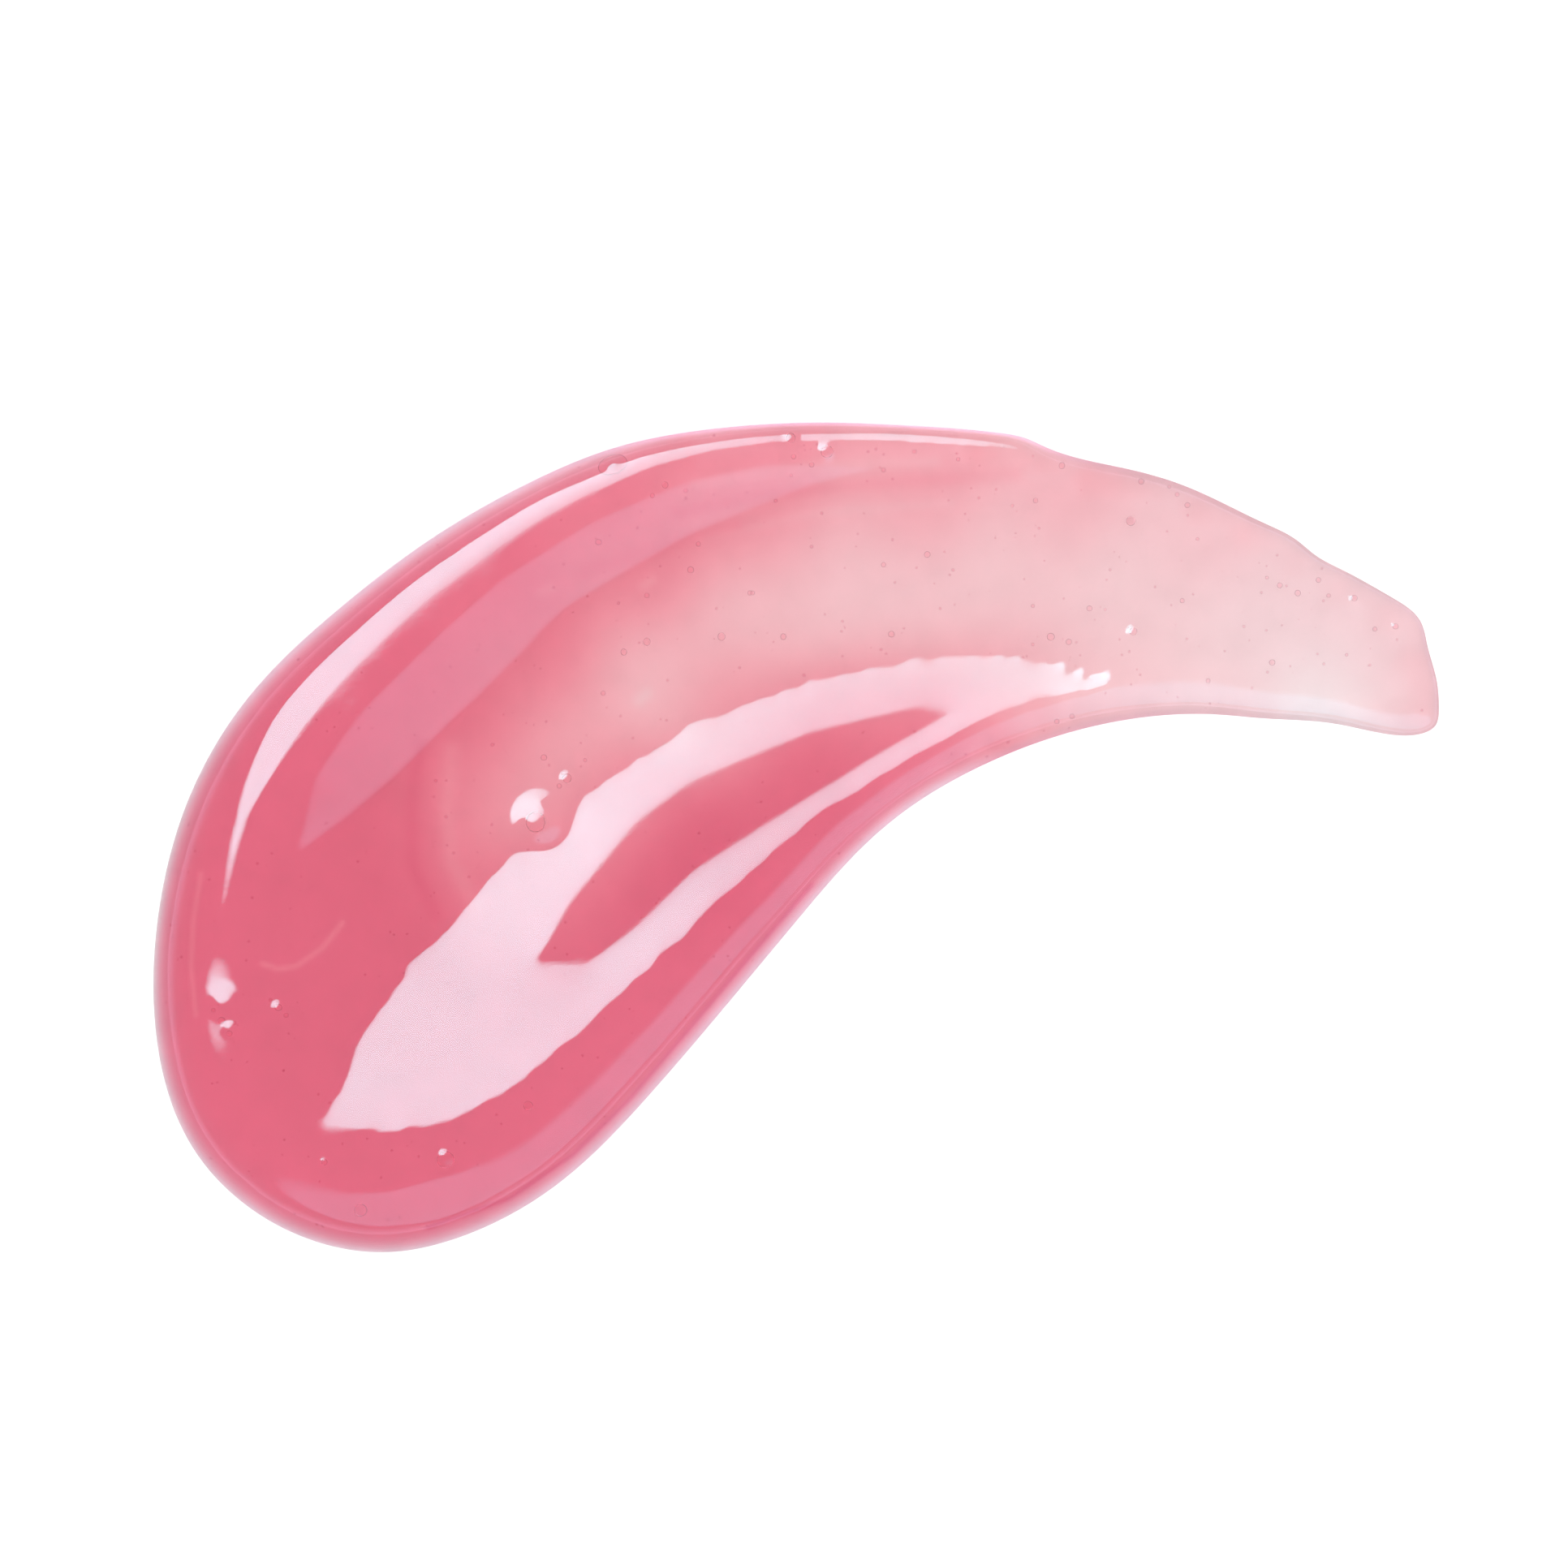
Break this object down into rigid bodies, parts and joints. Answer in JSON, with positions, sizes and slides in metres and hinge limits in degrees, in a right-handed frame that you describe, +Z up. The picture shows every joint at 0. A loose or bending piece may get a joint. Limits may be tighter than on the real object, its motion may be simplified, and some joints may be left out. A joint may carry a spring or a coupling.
{
  "type": "lip gloss smear",
  "caption": "Glossy translucent pink lip gloss smear on a flat base: thick rounded head, two low ridges, thin blunt tail, and trapped air bubbles.",
  "frame": {"origin": "middle of the smear's box in plan, on the surface that it lies on", "axes": "+Z up from that surface, +X from the thick head towards the thin tail along the smear's length, +Y towards the top of its arch"},
  "size_m": [0.05, 0.0322, 0.0022],
  "materials": {
    "gloss_gel": "gloss",
    "trapped_air": "gloss"
  },
  "bodies": {
    "root": {"gloss_smear": "gloss_gel", "bubble_head_dome": "trapped_air", "bubble_dome_companion": "trapped_air", "bubble_top_rim": "trapped_air", "bubble_top_edge": "trapped_air", "bubble_lower_ridge": "trapped_air", "bubble_ridge_crest": "trapped_air", "bubble_head_bottom": "trapped_air", "bubble_head_small": "trapped_air", "bubble_tail_glint": "trapped_air", "bubble_tail_top": "trapped_air", "bubble_tail_edge": "trapped_air", "bubble_tail_corner": "trapped_air", "bubble_rim_oval": "trapped_air", "bubbles_left_cluster": "trapped_air", "bubbles_left_star": "trapped_air", "bubbles_valley": "trapped_air", "bubbles_upper_valley": "trapped_air", "bubbles_under_ridge": "trapped_air", "bubbles_head_valley": "trapped_air", "bubbles_tail_rim": "trapped_air", "bubbles_tail": "trapped_air", "bubbles_lower_tail": "trapped_air"}
  },
  "joints": []
}
